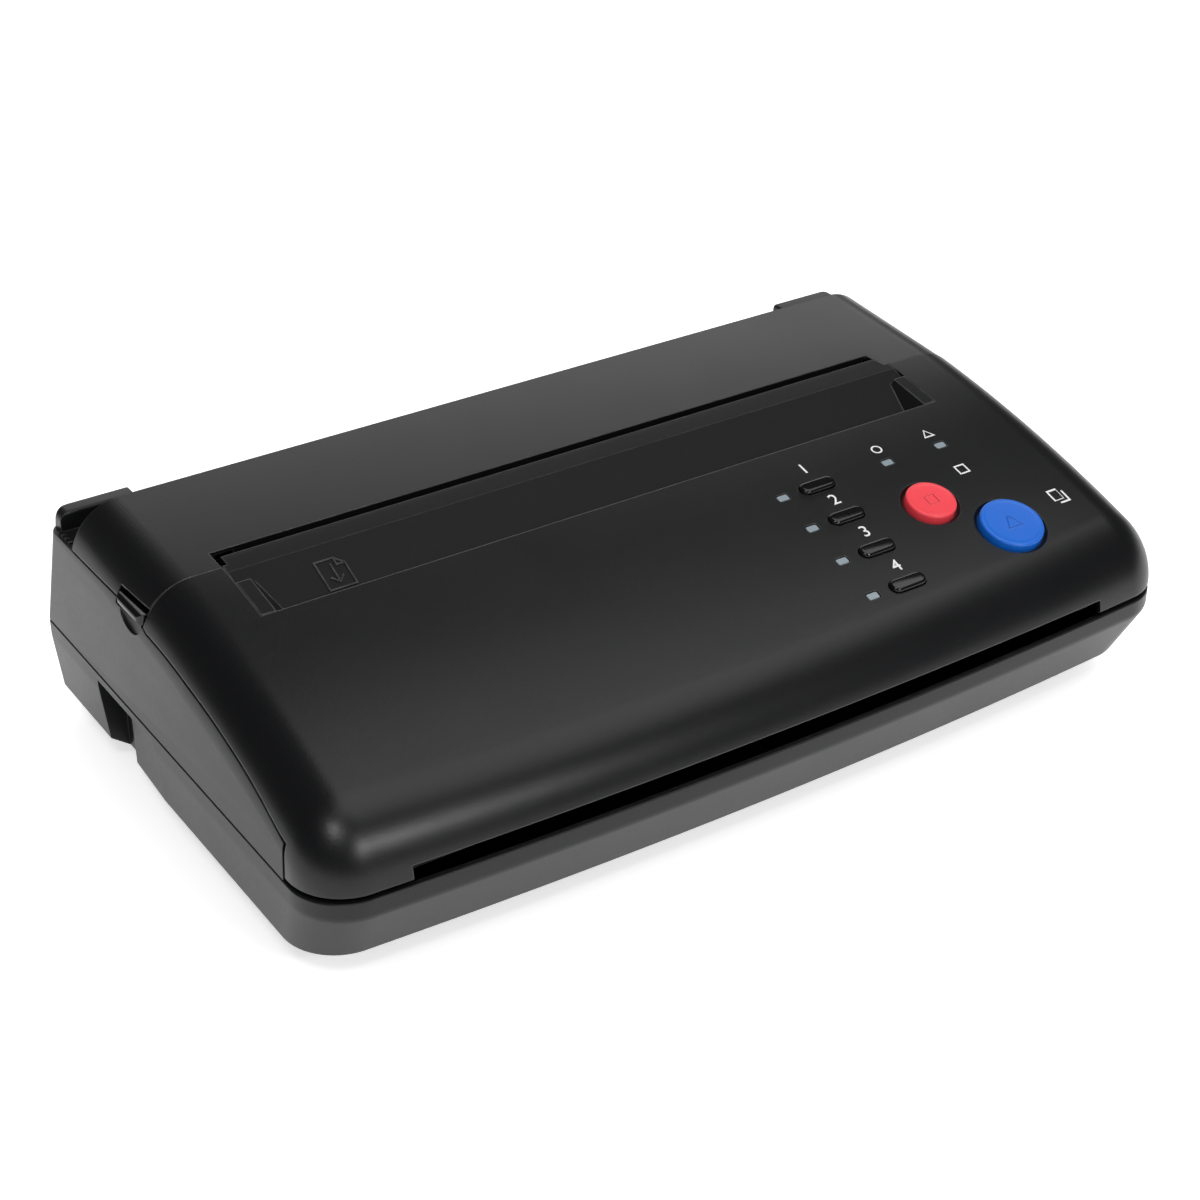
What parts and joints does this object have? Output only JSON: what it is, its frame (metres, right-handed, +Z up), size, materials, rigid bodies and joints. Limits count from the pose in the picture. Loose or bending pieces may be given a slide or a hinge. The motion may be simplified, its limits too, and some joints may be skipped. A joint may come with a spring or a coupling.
{
  "type": "thermal stencil copier",
  "caption": "Low desk-top copier with a sloping document tray, a hinged rear cover, a hinged front panel with keys and two round buttons, and slots for sheets.",
  "frame": {"origin": "middle of the width and of the depth, at the height that the feet stand on", "axes": "+X runs along the width towards the buttons, +Y from the front to the rear, +Z up"},
  "size_m": [0.35, 0.212, 0.0959],
  "materials": {
    "case_black": "satin, fine grain",
    "cover_black": "satin, fine grain",
    "tray_black": "satin, fine grain",
    "key_black": "satin",
    "socket_black": "matt",
    "stop_red": "soft gloss",
    "copy_blue": "soft gloss",
    "lamp_grey": "milky, unlit",
    "foot_rubber": "matt",
    "roller_rubber": "ground matt",
    "roller_white": "matt",
    "frame_steel": "zinc plated",
    "shaft_steel": "ground",
    "head_aluminium": "milled",
    "head_ceramic": "glazed",
    "gear_plastic": "moulded",
    "board_green": "lacquered",
    "sensor_glass": "clear"
  },
  "bodies": {
    "machine": {"base_shell": "case_black", "foot_front_left": "foot_rubber", "foot_front_right": "foot_rubber", "foot_rear_left": "foot_rubber", "foot_rear_right": "foot_rubber", "main_board": "board_green", "supply_board": "board_green", "inlet_socket": "socket_black", "switch_body": "socket_black", "casing": "case_black", "document_tray": "tray_black", "left_frame": "frame_steel", "right_frame": "frame_steel", "motor": "frame_steel", "drive_belt": "roller_rubber", "sensor_bar": "socket_black", "sensor_glass": "sensor_glass", "head_spring_left": "shaft_steel", "head_spring_right": "shaft_steel", "hinge_pin_left": "shaft_steel", "hinge_pin_right": "shaft_steel"},
    "switch_rocker": {"power_rocker": "key_black"},
    "cover": {"rear_cover": "cover_black", "bush_left": "gear_plastic", "bush_right": "gear_plastic"},
    "platen": {"platen_shaft": "shaft_steel", "platen_sleeve": "roller_rubber", "platen_gear": "gear_plastic"},
    "latch": {"latch_bar": "key_black"},
    "panel": {"front_panel": "cover_black", "lamp_1": "lamp_grey", "lamp_2": "lamp_grey", "lamp_3": "lamp_grey", "lamp_4": "lamp_grey", "ready_lamp": "lamp_grey", "alert_lamp": "lamp_grey", "key_board": "board_green", "separation_pad": "roller_rubber"},
    "key_1": {"mode_key_1": "key_black"},
    "key_2": {"mode_key_2": "key_black"},
    "key_3": {"mode_key_3": "key_black"},
    "key_4": {"mode_key_4": "key_black"},
    "stop": {"stop_button": "stop_red"},
    "copy": {"copy_button": "copy_blue"},
    "backing": {"backing_shaft": "shaft_steel", "backing_sleeve": "roller_white"},
    "pinch": {"pinch_roller": "roller_white"},
    "head": {"head_bracket": "frame_steel", "head_sink": "head_aluminium", "head_strip": "head_ceramic"},
    "pinion": {"motor_pinion": "gear_plastic"},
    "idler_1": {"lift_idler": "gear_plastic"},
    "idler_2": {"feed_idler": "gear_plastic"},
    "feed": {"feed_shaft": "shaft_steel", "feed_sleeve": "roller_rubber", "feed_gear": "gear_plastic"},
    "exit": {"exit_shaft": "shaft_steel", "exit_sleeve": "roller_rubber", "exit_pulley": "gear_plastic"}
  },
  "joints": [
    {"name": "switch_rock", "type": "hinge", "parent": "machine", "child": "switch_rocker", "pos_m": [-0.085, 0.1002, 0.021], "axis": [1, 0, 0], "range_deg": [0, 16]},
    {"name": "cover_hinge", "type": "hinge", "parent": "machine", "child": "cover", "pos_m": [0, 0.0945, 0.0806], "axis": [-1, 0, 0], "range_deg": [0, 65]},
    {"name": "platen_turn", "type": "hinge", "parent": "cover", "child": "platen", "pos_m": [0, 0.04394, 0.07336], "axis": [1, 0, 0], "continuous": true},
    {"name": "latch_lift", "type": "hinge", "parent": "cover", "child": "latch", "pos_m": [0, 0.037, 0.0845], "axis": [-1, 0, 0], "range_deg": [0, 5], "stiffness_Nm_per_rad": 0.5, "springref_deg": -5.73},
    {"name": "panel_hinge", "type": "hinge", "parent": "machine", "child": "panel", "pos_m": [0, -0.0945, 0.047], "axis": [1, 0, 0], "range_deg": [0, 45]},
    {"name": "key_1_press", "type": "slide", "parent": "panel", "child": "key_1", "axis": [0, 0.2273, -0.9738], "range_m": [0, 0.001], "stiffness_N_per_m": 500, "springref_m": -0.001},
    {"name": "key_2_press", "type": "slide", "parent": "panel", "child": "key_2", "axis": [0, 0.2587, -0.966], "range_m": [0, 0.001], "stiffness_N_per_m": 500, "springref_m": -0.001},
    {"name": "key_3_press", "type": "slide", "parent": "panel", "child": "key_3", "axis": [0, 0.2893, -0.9572], "range_m": [0, 0.001], "stiffness_N_per_m": 500, "springref_m": -0.001},
    {"name": "key_4_press", "type": "slide", "parent": "panel", "child": "key_4", "axis": [0, 0.319, -0.9478], "range_m": [0, 0.001], "stiffness_N_per_m": 500, "springref_m": -0.001},
    {"name": "stop_press", "type": "slide", "parent": "panel", "child": "stop", "axis": [0, 0.2703, -0.9628], "range_m": [0, 0.0012], "stiffness_N_per_m": 500, "springref_m": -0.001},
    {"name": "copy_press", "type": "slide", "parent": "panel", "child": "copy", "axis": [0, 0.306, -0.952], "range_m": [0, 0.0012], "stiffness_N_per_m": 500, "springref_m": -0.001},
    {"name": "backing_turn", "type": "hinge", "parent": "panel", "child": "backing", "pos_m": [0, -0.0634, 0.06116], "axis": [1, 0, 0], "continuous": true},
    {"name": "pinch_turn", "type": "hinge", "parent": "panel", "child": "pinch", "pos_m": [0, -0.08771, 0.05175], "axis": [1, 0, 0], "continuous": true},
    {"name": "head_yield", "type": "hinge", "parent": "machine", "child": "head", "pos_m": [0, 0.04374, 0.04894], "axis": [1, 0, 0], "range_deg": [0, 2], "stiffness_Nm_per_rad": 2.2, "springref_deg": -14.32, "deforming": ["head_spring_left", "head_spring_right"]},
    {"name": "pinion_turn", "type": "hinge", "parent": "machine", "child": "pinion", "pos_m": [0, 0.02689, 0.0582], "axis": [1, 0, 0], "continuous": true},
    {"name": "idler_1_turn", "type": "hinge", "parent": "machine", "child": "idler_1", "pos_m": [0, 0.04264, 0.0554], "axis": [1, 0, 0], "continuous": true},
    {"name": "idler_2_turn", "type": "hinge", "parent": "machine", "child": "idler_2", "pos_m": [0, 0.00467, 0.06173], "axis": [1, 0, 0], "continuous": true},
    {"name": "feed_turn", "type": "hinge", "parent": "machine", "child": "feed", "pos_m": [0, -0.01747, 0.06962], "axis": [1, 0, 0], "continuous": true},
    {"name": "exit_turn", "type": "hinge", "parent": "machine", "child": "exit", "pos_m": [0, -0.08444, 0.04402], "axis": [1, 0, 0], "continuous": true}
  ],
  "couplings": [
    {"joint": "idler_1_turn", "follows": "platen_turn", "ratio": -0.8},
    {"joint": "pinion_turn", "follows": "platen_turn", "ratio": 1.3333},
    {"joint": "idler_2_turn", "follows": "platen_turn", "ratio": -0.48485},
    {"joint": "feed_turn", "follows": "platen_turn", "ratio": 1.1429},
    {"joint": "exit_turn", "follows": "platen_turn", "ratio": 1.8286}
  ]
}
